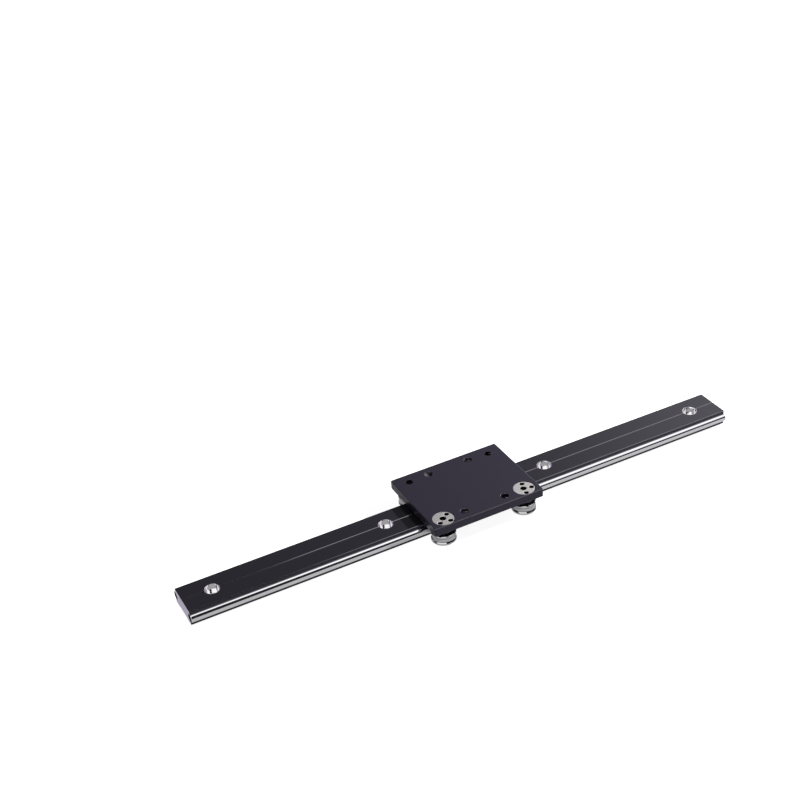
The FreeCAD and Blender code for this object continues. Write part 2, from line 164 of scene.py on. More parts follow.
def turn(name: str, outline: Sequence[Point], steps: int = 96) -> bpy.types.Object:
    """Turn a closed half section about Z, as on a lathe.

    Args:
        name: name of the new object.
        outline: radius and height of each corner, in millimetres.
        steps: faces round the axis.

    Returns:
        The turned object, standing on the world's Z axis.
    """
    piece = draw_outline(name, [Vector((r, 0, z)) * MM for r, z in outline])
    bpy.ops.mesh.spin(steps=steps, angle=2 * math.pi, center=(0, 0, 0), axis=(0, 0, 1))
    bpy.ops.mesh.select_all(action="SELECT")
    bpy.ops.mesh.remove_doubles(threshold=MERGE_WITHIN * MM)
    bpy.ops.mesh.delete_loose()
    bpy.ops.mesh.select_all(action="SELECT")
    bpy.ops.mesh.normals_make_consistent(inside=False)
    bpy.ops.object.mode_set(mode="OBJECT")
    return piece


def arc(centre: Point, radius: float, start: float, end: float, steps: int) -> list[Point]:
    """Points along an arc, from one angle in degrees to another, both included."""
    angles = [math.radians(start + (end - start) * n / steps) for n in range(steps + 1)]
    return [(centre[0] + radius * math.cos(a), centre[1] + radius * math.sin(a)) for a in angles]


def copy_at(pattern: bpy.types.Object, name: str, place: Vector) -> bpy.types.Object:
    """Copy a piece, with its own mesh, to a place.

    Args:
        pattern: the piece to copy.
        name: name of the copy.
        place: where the copy's origin goes, in metres.

    Returns:
        The copy.
    """
    twin = pattern.copy()
    twin.data = pattern.data.copy()
    twin.name = name
    bpy.context.scene.collection.objects.link(twin)
    settle(twin, place)
    return twin


def settle(piece: bpy.types.Object, place: Vector, turned: float = 0.0) -> None:
    """Move a piece into place and leave its object at the origin.

    Args:
        piece: the piece, modelled about the origin.
        place: where its origin goes, in metres.
        turned: its turn about Z, in degrees.
    """
    activate(piece)
    piece.location = place
    piece.rotation_euler = (0, 0, math.radians(turned))
    bpy.ops.object.transform_apply(location=True, rotation=True, scale=True)


def cut(piece: bpy.types.Object, cutters: Sequence[bpy.types.Object]) -> None:
    """Cut closed shapes out of a piece and remove them.

    Args:
        piece: the piece that is cut.
        cutters: closed objects that don't overlap one another.
    """
    deselect_all()
    for cutter in cutters:
        cutter.select_set(True)
    bpy.context.view_layer.objects.active = cutters[0]
    if len(cutters) > 1:
        bpy.ops.object.join()
    tool = bpy.context.object
    activate(piece)
    modifier = piece.modifiers.new("cut", "BOOLEAN")
    modifier.operation = "DIFFERENCE"
    modifier.solver = "EXACT"
    modifier.object = tool
    bpy.ops.object.modifier_apply(modifier=modifier.name)
    bpy.data.objects.remove(tool)


def break_edges(piece: bpy.types.Object, width: float, angle: float, segments: int = 2) -> None:
    """Break the sharp edges of a piece and shade it smooth elsewhere.

    Args:
        piece: the piece to finish.
        width: width of the broken edge in millimetres.
        angle: edges that turn by more than this many degrees are broken.
        segments: faces across each broken edge.
    """
    activate(piece)
    modifier = piece.modifiers.new("broken_edges", "BEVEL")
    modifier.limit_method = "ANGLE"
    modifier.angle_limit = math.radians(angle)
    modifier.width = width * MM
    modifier.segments = segments
    modifier.use_clamp_overlap = True
    bpy.ops.object.modifier_apply(modifier=modifier.name)
    bpy.ops.object.shade_smooth_by_angle(angle=math.radians(max(angle, SMOOTH_ANGLE)))
    flatten = piece.modifiers.new("flat_faces", "WEIGHTED_NORMAL")
    flatten.keep_sharp = True
    flatten.weight = 100
    bpy.ops.object.modifier_apply(modifier=flatten.name)


def is_upright(start: Vector, end: Vector) -> bool:
    """Whether an edge from one point to another stands along Z."""
    way = (end - start).normalized()
    return abs(way.z) > UPRIGHT


def round_edges(piece: bpy.types.Object, radius: float, segments: int,
                chosen: Callable[[Vector, Vector], bool]) -> None:
    """Round the edges of a piece that a test picks.

    Args:
        piece: the piece, in object mode.
        radius: radius of the rounding in millimetres.
        segments: faces across the rounding.
        chosen: test on an edge's two ends.
    """
    edit(piece, whole=False)
    bpy.ops.mesh.select_mode(type="EDGE")
    bpy.ops.object.mode_set(mode="OBJECT")
    for edge in piece.data.edges:
        start, end = (piece.data.vertices[number].co for number in edge.vertices)
        edge.select = chosen(start, end)
    bpy.ops.object.mode_set(mode="EDIT")
    bpy.ops.mesh.bevel(offset=radius * MM, segments=segments, affect="EDGES")
    bpy.ops.object.mode_set(mode="OBJECT")


def middle(node: str) -> Vector:
    """Middle of a CAD node's box."""
    low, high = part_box(node)
    return (low + high) / 2


def hand_over(piece: bpy.types.Object, body: str,
              material: bpy.types.Material, nodes: Sequence[str] = ()) -> None:
    """Dress a finished piece, put it on its body and report it.

    Args:
        piece: the finished piece.
        body: CAD body that it rides on.
        material: its material.
        nodes: CAD nodes that it stands for.
    """
    piece.data.materials.clear()
    piece.data.materials.append(material)
    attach(piece, body)
    if nodes:
        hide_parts(*nodes)
    log.info("%s rides on %s and stands for %s", piece.name, body, ", ".join(nodes) or "nothing")


def dress_node(node: str, material: bpy.types.Material) -> None:
    """Give a CAD node that stays in view its material.

    Args:
        node: name of the CAD node.
        material: its material.
    """
    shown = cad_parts[node]
    shown.data.materials.clear()
    shown.data.materials.append(material)
    log.info("%s keeps its own mesh", node)


# Finishes


class Graph:
    """Adds and joins the nodes of one shader tree."""

    def __init__(self, tree: bpy.types.NodeTree) -> None:
        """Work on a tree."""
        self.tree = tree

    def node(self, kind: str, **settings: object) -> bpy.types.Node:
        """Add a node and set its properties.

        Args:
            kind: Blender's name for the node.
            settings: properties of the node and their values.

        Returns:
            The new node.
        """
        made = self.tree.nodes.new(kind)
        for name, value in settings.items():
            setattr(made, name, value)
        return made

    def feed(self, target: bpy.types.NodeSocket, source: Socket) -> None:
        """Join a socket to another, or give it a plain value.

        Args:
            target: the input to feed.
            source: an output, or the value.
        """
        if isinstance(source, bpy.types.NodeSocket):
            self.tree.links.new(source, target)
        else:
            target.default_value = source

    def math(self, operation: str, *sources: Socket, clamp: bool = False) -> bpy.types.NodeSocket:
        """Add a Math node.

        Args:
            operation: Blender's name for the operation.
            sources: its inputs, sockets or numbers.
            clamp: whether the result is kept between 0 and 1.

        Returns:
            The node's result.
        """
        made = self.node("ShaderNodeMath", operation=operation, use_clamp=clamp)
        for target, source in zip(made.inputs, sources):
            self.feed(target, source)
        return made.outputs[0]

    def ramp(self, source: Socket, low: float, high: float, at_low: float = 0.0,
             at_high: float = 1.0) -> bpy.types.NodeSocket:
        """Map a value smoothly from one range to another.

        Args:
            source: the value.
            low: value that gives at_low.
            high: value that gives at_high.
            at_low: result at and below low.
            at_high: result at and above high.

        Returns:
            The mapped value.
        """
        made = self.node("ShaderNodeMapRange", interpolation_type="SMOOTHSTEP")
        for target, value in zip(made.inputs, (source, low, high, at_low, at_high)):
            self.feed(target, value)
        return made.outputs[0]

    def blend(self, factor: Socket, *colours: Union[bpy.types.NodeSocket, Colour],
              ) -> bpy.types.NodeSocket:
        """Mix two colours by a factor.

        Args:
            factor: 0 for the first colour, 1 for the second.
            colours: the two colours, sockets or plain values.

        Returns:
            The mixed colour.
        """
        made = self.node("ShaderNodeMix", data_type="RGBA")
        self.feed(made.inputs["Factor"], factor)
        targets = [socket for socket in made.inputs if socket.type == "RGBA"]
        for target, colour in zip(targets, colours):
            self.feed(target, (*colour, 1.0) if isinstance(colour, tuple) else colour)
        return [socket for socket in made.outputs if socket.type == "RGBA"][0]

    def group(self, tree: bpy.types.NodeTree, **values: float) -> bpy.types.Node:
        """Place a shared group and set its inputs.

        Args:
            tree: the group.
            values: the group's inputs by name, with spaces as underscores.

        Returns:
            The group's node.
        """
        made = self.node("ShaderNodeGroup", node_tree=tree)
        for name, value in values.items():
            made.inputs[name.replace("_", " ").capitalize()].default_value = value
        return made

    def place(self) -> tuple[bpy.types.NodeSocket, ...]:
        """X, Y and Z of the shaded point, in metres.

        Returns:
            The three coordinates.
        """
        apart = self.node("ShaderNodeSeparateXYZ")
        self.feed(apart.inputs[0], self.node("ShaderNodeTexCoord").outputs["Object"])
        return tuple(apart.outputs)

    def squares(self, *sides: Socket) -> bpy.types.NodeSocket:
        """Sum of the squares of two values."""
        return self.math("ADD", *(self.math("MULTIPLY", side, side) for side in sides))

    def noise(self, where: bpy.types.NodeSocket, scale: Socket, detail: float,
              dimensions: str = "3D") -> bpy.types.NodeSocket:
        """Add a Noise node.

        Args:
            where: the place that it is read at, a number where it has one dimension.
            scale: its scale.
            detail: its detail.
            dimensions: "3D" or "1D".

        Returns:
            The noise, about 0.5.
        """
        made = self.node("ShaderNodeTexNoise", noise_dimensions=dimensions)
        self.feed(made.inputs["W" if dimensions == "1D" else "Vector"], where)
        self.feed(made.inputs["Scale"], scale)
        self.feed(made.inputs["Detail"], detail)
        return made.outputs["Fac"]


class Group(Graph):
    """A shader group that several materials share."""

    def __init__(self, name: str, inputs: dict[str, float], outputs: Sequence[str]) -> None:
        """Start the group.

        Args:
            name: name of the group.
            inputs: its inputs and their usual values.
            outputs: names of its outputs.
        """
        super().__init__(bpy.data.node_groups.new(name, "ShaderNodeTree"))
        sockets = self.tree.interface
        for label, value in inputs.items():
            socket = sockets.new_socket(name=label, in_out="INPUT", socket_type="NodeSocketFloat")
            socket.default_value = value
        for label in outputs:
            sockets.new_socket(name=label, in_out="OUTPUT", socket_type="NodeSocketFloat")
        self.given = self.node("NodeGroupInput").outputs
        self.result = self.node("NodeGroupOutput").inputs

    def put_out_surface(self, swing: bpy.types.NodeSocket, height: bpy.types.NodeSocket) -> None:
        """Put out the height, and a roughness that swings about the given one.

        Args:
            swing: noise that moves the roughness.
            height: the height.
        """
        off = self.math("SUBTRACT", swing, 0.5)
        self.feed(self.result["Roughness"],
                  self.math("MULTIPLY_ADD", off, self.given["Spread"], self.given["Roughness"]))
        self.feed(self.result["Height"], height)


@dataclass
class Effects:
    """Shader groups that several finishes share, built once.

    Each pair is where a mask starts and where it is whole: bend by how far the normal of a rounded
    edge turns, patches by the noise that breaks wear up, upright and level by the Z of a face's
    normal, between which it is a slope. Ring rise sets turning marks apart on an upright wall.
    """

    bevel_samples: int = 4
    speckle_detail: float = 2.0
    cloud_scale: float = 35.0
    cloud_detail: float = 5.0
    bend: Point = (0.02, 0.25)
    patch_scale: float = 900.0
    patch_detail: float = 4.0
    patches: Point = (0.35, 0.65)
    upright: Point = (0.15, 0.25)
    level: Point = (0.975, 0.995)
    line_detail: float = 3.0
    ring_rise: float = 0.7
    grain: bpy.types.NodeTree = field(init=False)
    wear: bpy.types.NodeTree = field(init=False)
    strokes: bpy.types.NodeTree = field(init=False)
    rings: bpy.types.NodeTree = field(init=False)
    slopes: bpy.types.NodeTree = field(init=False)

    def __post_init__(self) -> None:
        """Build every group."""
        self.slopes = self.build_slopes()
        self.grain = self.build_grain()
        self.wear = self.build_wear()
        self.strokes = self.build_strokes()
        self.rings = self.build_rings()

    def build_grain(self) -> bpy.types.NodeTree:
        """Etched grain: fine speckle for the height and slow clouds for the roughness.

        Returns:
            The group.
        """
        group = Group("etched_grain", {"Scale": 4000.0, "Roughness": 0.4, "Spread": 0.06},
                      ("Roughness", "Height"))
        where = group.node("ShaderNodeTexCoord").outputs["Object"]
        speckle = group.noise(where, group.given["Scale"], self.speckle_detail)
        group.put_out_surface(group.noise(where, self.cloud_scale, self.cloud_detail), speckle)
        return group.tree

    def build_wear(self) -> bpy.types.NodeTree:
        """Mask of the outer edges, broken up as handling wears them, its radius in metres.

        Returns:
            The group.
        """
        group = Group("edge_wear", {"Radius": 0.4 * MM, "Amount": 1.0}, ("Mask",))
        rounded = group.node("ShaderNodeBevel", samples=self.bevel_samples)
        group.feed(rounded.inputs["Radius"], group.given["Radius"])
        align = group.node("ShaderNodeVectorMath", operation="DOT_PRODUCT")
        group.feed(align.inputs[0], rounded.outputs[0])
        group.feed(align.inputs[1], group.node("ShaderNodeNewGeometry").outputs["Normal"])
        bend = group.ramp(group.math("SUBTRACT", 1.0, align.outputs["Value"]), *self.bend)
        where = group.node("ShaderNodeTexCoord").outputs["Object"]
        patches = group.ramp(group.noise(where, self.patch_scale, self.patch_detail), *self.patches)
        mask = group.math("MULTIPLY", group.math("MULTIPLY", bend, patches),
                          group.given["Amount"], clamp=True)
        group.feed(group.result["Mask"], mask)
        return group.tree

    def build_slopes(self) -> bpy.types.NodeTree:
        """Mask of faces that slope upward: broken edges, lead-ins and the scribed line.

        Returns:
            The group.
        """
        group = Group("slopes", {"Amount": 1.0}, ("Mask",))
        apart = group.node("ShaderNodeSeparateXYZ")
        group.feed(apart.inputs[0], group.node("ShaderNodeNewGeometry").outputs["True Normal"])
        leaning = group.math("MULTIPLY", group.ramp(apart.outputs["Z"], *self.upright),
                             group.ramp(apart.outputs["Z"], *self.level, 1.0, 0.0))
        group.feed(group.result["Mask"], group.math("MULTIPLY", leaning, group.given["Amount"]))
        return group.tree

    def build_strokes(self) -> bpy.types.NodeTree:
        """Lines across or along X: noise stretched by a different scale on each axis.

        Returns:
            The group.
        """
        group = Group(
            "strokes", {"Along": 8.0, "Across": 3000.0, "Roughness": 0.3, "Spread": 0.1},
            ("Roughness", "Height"))
        together = group.node("ShaderNodeCombineXYZ")
        scales = ("Along", "Across", "Across")
        for target, source, scale in zip(together.inputs, group.place(), scales):
            group.feed(target, group.math("MULTIPLY", source, group.given[scale]))
        lines = group.noise(together.outputs[0], 1.0, self.line_detail)
        group.put_out_surface(lines, lines)
        return group.tree

    def build_rings(self) -> bpy.types.NodeTree:
        """Turning marks: lines round an upright axis at a place in metres.

        Returns:
            The group.
        """
        group = Group(
            "turning_marks",
            {"Axis x": 0.0, "Axis y": 0.0, "Pitch": 9000.0, "Roughness": 0.3, "Spread": 0.1},
            ("Roughness", "Height", "Radius"))
        x, y, z = group.place()
        radius = group.math("SQRT", group.squares(
            group.math("SUBTRACT", x, group.given["Axis x"]),
            group.math("SUBTRACT", y, group.given["Axis y"])))
        group.feed(group.result["Radius"], radius)
        along = group.math("ADD", radius, group.math("MULTIPLY", z, self.ring_rise))
        marks = group.noise(group.math("MULTIPLY", along, group.given["Pitch"]), 1.0,
                            self.line_detail, dimensions="1D")
        group.put_out_surface(marks, marks)
        return group.tree


def new_material(name: str) -> tuple[bpy.types.Material, Graph, bpy.types.Node]:
    """Start a material.

    Args:
        name: name of the material.

    Returns:
        The material, a graph on its nodes, and its Principled shader.
    """
    material = bpy.data.materials.new(name)
    material.use_nodes = True
    graph = Graph(material.node_tree)
    return material, graph, material.node_tree.nodes["Principled BSDF"]


def add_bump(graph: Graph, shader: bpy.types.Node, height: bpy.types.NodeSocket,
             depth: float) -> None:
    """Give a shader a bump.

    Args:
        graph: the graph of its material.
        shader: the shader.
        height: the bump's height, a plain number.
        depth: what a height of 1 stands for, in millimetres.
    """
    bump = graph.node("ShaderNodeBump")
    bump.inputs["Distance"].default_value = depth * MM
    bump.inputs["Strength"].default_value = 1.0
    graph.feed(bump.inputs["Height"], height)
    graph.feed(shader.inputs["Normal"], bump.outputs["Normal"])


@dataclass(frozen=True)
class BareCuts:
    """Where the rail was sawn and drilled after it was anodised, in millimetres."""

    half_length: float
    first_hole: float
    hole_pitch: float
    hole_radius: float
    bore_radius: float
    bore_floor: float
    rim: float = 0.25
    saw_depth: float = 0.05

    def mask(self, graph: Graph) -> bpy.types.NodeSocket:
        """Mask that is 1 on the sawn ends and on the walls of the holes.

        Args:
            graph: the graph of the rail's material.

        Returns:
            The mask.
        """
        x, y, z = graph.place()
        sawn = graph.math("GREATER_THAN", graph.math("ABSOLUTE", x),
                          (self.half_length - self.saw_depth) * MM)
        shifted = graph.math("SUBTRACT", x, self.first_hole * MM)
        nearest = graph.math("PINGPONG", shifted, self.hole_pitch / 2 * MM)
        away = graph.squares(nearest, y)
        in_hole, in_bore = (graph.math("LESS_THAN", away, ((radius + self.rim) * MM) ** 2)
                            for radius in (self.hole_radius, self.bore_radius))
        above = graph.math("GREATER_THAN", z, (self.bore_floor - self.rim) * MM)
        drilled = graph.math("MAXIMUM", in_hole, graph.math("MULTIPLY", in_bore, above))
        return graph.math("MAXIMUM", sawn, drilled)


@dataclass(frozen=True)
class Anodised:
    """Black anodised aluminium with worn edges, and bare metal where it was cut later."""

    name: str
    dye: Colour
    roughness: float
    worn: Colour = (0.16, 0.15, 0.175)
    bare: Colour = (0.86, 0.85, 0.86)
    spread: float = 0.04
    grain_scale: float = 5200.0
    gloss: float = 0.36
    sheen: Colour = (0.88, 0.83, 1.0)
    ior: float = 1.45
    wear: float = 1.0
    worn_radius: float = 0.3
    worn_amount: float = 0.3
    slope_polish: float = 0.6
    cut_polish: float = 0.06
    drawn_lines: bool = False
    line_scales: Point = (6.0, 2600.0)
    line_height: float = 1.5
    depth: float = 0.001
    cuts: Optional[BareCuts] = None

    def build(self, effects: Effects) -> bpy.types.Material:
        """Make the material.

        Args:
            effects: the shared shader groups.

        Returns:
            The material.
        """
        material, graph, shader = new_material(self.name)
        grain = graph.group(effects.grain, scale=self.grain_scale, roughness=self.roughness,
                            spread=self.spread)
        worn = graph.group(effects.wear, radius=self.worn_radius * MM, amount=self.worn_amount)
        slopes = graph.group(effects.slopes, amount=self.wear).outputs["Mask"]
        metal = graph.math("MAXIMUM", worn.outputs["Mask"], slopes)
        colour = graph.blend(metal, self.dye, self.worn)
        keen = graph.math("SUBTRACT", 1.0, graph.math("MULTIPLY", slopes, self.slope_polish))
        rough = graph.math("MULTIPLY", grain.outputs["Roughness"], keen)
        height = grain.outputs["Height"]
        if self.drawn_lines:
            along, across = self.line_scales
            lines = graph.group(effects.strokes, along=along, across=across).outputs["Height"]
            height = graph.math("ADD", height, graph.math("MULTIPLY", lines, self.line_height))
        if self.cuts:
            mask = self.cuts.mask(graph)
            colour = graph.blend(mask, colour, self.bare)
            metal = graph.math("MAXIMUM", metal, mask)
            rough = graph.math("SUBTRACT", rough, graph.math("MULTIPLY", mask, self.cut_polish))
        graph.feed(shader.inputs["Metallic"], metal)
        graph.feed(shader.inputs["Base Color"], colour)
        graph.feed(shader.inputs["Roughness"], rough)
        shader.inputs["IOR"].default_value = self.ior
        shader.inputs["Specular IOR Level"].default_value = self.gloss
        shader.inputs["Specular Tint"].default_value = (*self.sheen, 1.0)
        add_bump(graph, shader, height, self.depth)
        return material


@dataclass(frozen=True)
class GroundSteel:
    """Hardened steel ground on a machine, with fine lines round the shaft and dark ends."""

    name: str
    colour: Colour
    half_length: float
    roughness: float = 0.07
    spread: float = 0.04
    line_scales: Point = (5000.0, 60.0)
    depth: float = 0.0006
    cloud_scale: float = 900.0
    cloud_middle: float = 0.5
    cloud_spread: float = 0.35
    cloud_shade: float = 0.9
    end: Colour = (0.012, 0.012, 0.014)
    end_depth: float = 0.05

    def build(self, effects: Effects) -> bpy.types.Material:
        """Make the material.

        Args:
            effects: the shared shader groups.

        Returns:
            The material.
        """
        material, graph, shader = new_material(self.name)
        along, across = self.line_scales
        lines = graph.group(effects.strokes, along=along, across=across,
                            roughness=self.roughness, spread=self.spread)
        clouds = graph.group(effects.grain, scale=self.cloud_scale,
                             roughness=self.cloud_middle, spread=self.cloud_spread)
        colour = graph.blend(clouds.outputs["Roughness"], self.colour,
                             tuple(self.cloud_shade * part for part in self.colour))
        along_shaft = graph.place()[0]
        bright = graph.math("LESS_THAN", graph.math("ABSOLUTE", along_shaft),
                            (self.half_length - self.end_depth) * MM)
        graph.feed(shader.inputs["Base Color"], graph.blend(bright, self.end, colour))
        graph.feed(shader.inputs["Metallic"], bright)
        shader.inputs["Specular IOR Level"].default_value = 0.0
        graph.feed(shader.inputs["Roughness"], lines.outputs["Roughness"])
        add_bump(graph, shader, lines.outputs["Height"], self.depth)
        return material


@dataclass(frozen=True)
class TurnedSteel:
    """Steel turned about an upright axis, its marks running round that axis.

    The axis, and the height below which painted shade darkens the holes, are places, in metres.
    """

    name: str
    colour: Colour
    axis: Point
    roughness: float
    spread: float = 0.12
    pitch: float = 9000.0
    depth: float = 0.002
    worn_radius: float = 0.2
    worn_gain: float = 1.3
    # Painted shade: a dark colour below a height and outside a radius, for the shade in holes and
    # round a rim.
    shade_below: Optional[float] = None
    shade_beyond: float = 7.12
    hollow_shade: Colour = (0.05, 0.040, 0.036)

    def build(self, effects: Effects) -> bpy.types.Material:
        """Make the material.

        Args:
            effects: the shared shader groups.

        Returns:
            The material.
        """
        material, graph, shader = new_material(self.name)
        marks = graph.group(effects.rings, axis_x=self.axis[0], axis_y=self.axis[1],
                            pitch=self.pitch, roughness=self.roughness, spread=self.spread)
        worn = graph.group(effects.wear, radius=self.worn_radius * MM, amount=1.0)
        bright = tuple(min(1.0, self.worn_gain * part) for part in self.colour)
        colour = graph.blend(worn.outputs["Mask"], self.colour, bright)
        # Painted shade: the colour goes dark below a height and outside a radius, standing in for
        # the shade in the holes and in the gap round the head's rim.
        if self.shade_below is not None:
            height = graph.place()[2]
            shaded_hollow = graph.math("LESS_THAN", height, self.shade_below)
            rim = graph.math("GREATER_THAN", marks.outputs["Radius"], self.shade_beyond * MM)
            colour = graph.blend(graph.math("MAXIMUM", shaded_hollow, rim), colour, self.hollow_shade)
        graph.feed(shader.inputs["Base Color"], colour)
        graph.feed(shader.inputs["Roughness"], marks.outputs["Roughness"])
        shader.inputs["Metallic"].default_value = 1.0
        add_bump(graph, shader, marks.outputs["Height"], self.depth)
        return material


# Sub-assemblies


@dataclass
class Rail:
    """The extruded rail and the two shafts let into its sides."""

    length: float = 400.0
    width: float = 26.0
    height: float = 10.5
    corner: float = 0.3
    end_radius: float = 0.5
    scribe_width: float = 0.7
    scribe_depth: float = 0.35
    relief_width: float = 12.0
    relief_depth: float = 0.8
    shaft_radius: float = 3.0
    shaft_inset: float = 0.5
    pocket_radius: float = 3.02
    hole_pitch: float = 120.0
    hole_count: int = 4
    hole_radius: float = 2.75
    bore_radius: float = 4.75
    bore_depth: float = 5.4
    edge: float = 0.08
    shaft_edge: float = 0.4

    @property
    def first_hole(self) -> float:
        """X of the hole nearest the left end."""
        return -self.hole_pitch * (self.hole_count - 1) / 2

    @property
    def cuts(self) -> BareCuts:
        """Where the rail's metal is bare."""
        return BareCuts(self.length / 2, self.first_hole, self.hole_pitch, self.hole_radius,
                        self.bore_radius, bore_floor=self.height - self.bore_depth)

    def half_section(self) -> list[Point]:
        """Corners of the section's +Y half, from the underside's middle round to the scribe.

        Returns:
            The corners' Y and Z in millimetres.
        """
        half, mid = self.width / 2, self.height / 2
        centre = half - self.shaft_inset
        mouth = math.degrees(math.acos(self.shaft_inset / self.pocket_radius))
        return [
            (self.relief_width / 2, self.relief_depth),
            (self.relief_width / 2 + self.relief_depth, 0.0),
            (half - self.corner, 0.0),
            (half, self.corner),
            *arc((centre, mid), self.pocket_radius, 360.0 - mouth, mouth, steps=28),
            (half, self.height - self.corner),
            (half - self.corner, self.height),
            (self.scribe_width / 2, self.height),
            (0.0, self.height - self.scribe_depth),
        ]

    def hole_cutter(self) -> bpy.types.Object:
        """Shape of one counterbored hole, standing on the rail's underside.

        Returns:
            The cutter.
        """
        over = 1.0
        step = self.height - self.bore_depth
        return turn("hole_cutter", [
            (0.0, -over), (self.hole_radius, -over), (self.hole_radius, step),
            (self.bore_radius, step), (self.bore_radius, self.height + over),
            (0.0, self.height + over)], steps=72)

    def build(self, effects: Effects) -> None:
        """Model and dress the rail and its shafts."""
        self.build_extrusion(effects)
        self.build_shafts(effects)

    def build_extrusion(self, effects: Effects) -> None:
        """Draw the section, extrude it along X and drill the row of holes.

        Args:
            effects: the shared shader groups.
        """
        right = self.half_section()
        section = right + [(-y, z) for y, z in reversed(right[:-1])]
        start = -self.length / 2
        body = draw_outline("rail_body", [Vector((start, y, z)) * MM for y, z in section])
        bpy.ops.mesh.edge_face_add()
        bpy.ops.mesh.extrude_region_move(
            TRANSFORM_OT_translate={"value": (self.length * MM, 0, 0)})
        bpy.ops.mesh.select_all(action="SELECT")
        bpy.ops.mesh.normals_make_consistent(inside=False)
        bpy.ops.object.mode_set(mode="OBJECT")
        side = self.width / 2 * MM
        round_edges(body, self.end_radius, 4, lambda start, end:
                    is_upright(start, end) and abs(abs(start.y) - side) < SAME_PLACE * MM)
        pattern = self.hole_cutter()
        row = [self.first_hole + number * self.hole_pitch for number in range(self.hole_count)]
        cutters = [copy_at(pattern, "hole", Vector((x * MM, 0, 0))) for x in row]
        bpy.data.objects.remove(pattern)
        cut(body, cutters)
        break_edges(body, self.edge, angle=40.0)
        finish = Anodised("rail_anodised", dye=(0.0265, 0.0250, 0.0340), roughness=0.13,
                          drawn_lines=True, cuts=self.cuts)
        hand_over(body, "rail", finish.build(effects), ["rail_extrusion"])

    def build_shafts(self, effects: Effects) -> None:
        """Add the two shafts as long cylinders with broken ends.

        Args:
            effects: the shared shader groups.
        """
        steel = GroundSteel("shaft_ground", (0.79, 0.79, 0.83), self.length / 2).build(effects)
        for node in ("shaft_front", "shaft_rear"):
            place = middle(node)
            deselect_all()
            bpy.ops.mesh.primitive_cylinder_add(
                vertices=96, radius=self.shaft_radius * MM, depth=self.length * MM,
                location=place, rotation=(0, math.pi / 2, 0))
            shaft = bpy.context.object
            shaft.name = node + "_ground"
            bpy.ops.object.transform_apply(location=True, rotation=True, scale=True)
            break_edges(shaft, self.shaft_edge, angle=60.0)
            hand_over(shaft, "rail", steel, [node])


